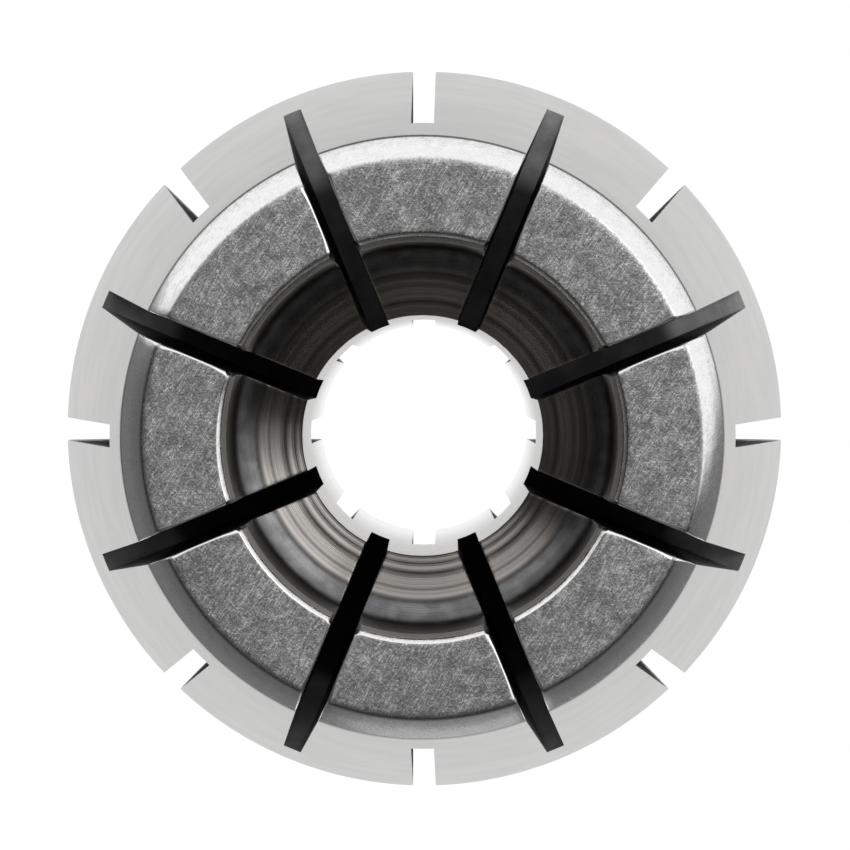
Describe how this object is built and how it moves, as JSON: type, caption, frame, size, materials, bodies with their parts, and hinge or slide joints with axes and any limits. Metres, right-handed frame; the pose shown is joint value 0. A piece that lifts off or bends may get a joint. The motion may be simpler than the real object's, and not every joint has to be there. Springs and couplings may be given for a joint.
{
  "type": "er collet",
  "caption": "Spring collet sleeve with a tapered outside, interleaved saw slots and a cylindrical bore that clamps a round tool shank.",
  "frame": {"origin": "centre of the large front face, the one that the clamping nut pushes on", "axes": "+Z along the collet's axis, from the large front face to the small rear end; +X through the middle of one of the slots that are open at the front face"},
  "size_m": [0.0326, 0.0326, 0.04],
  "materials": {
    "collet_steel": "tumbled on the end face, ground on the taper and in the bore, turned in the relief"
  },
  "bodies": {
    "root": {"collet": "collet_steel"}
  },
  "joints": []
}
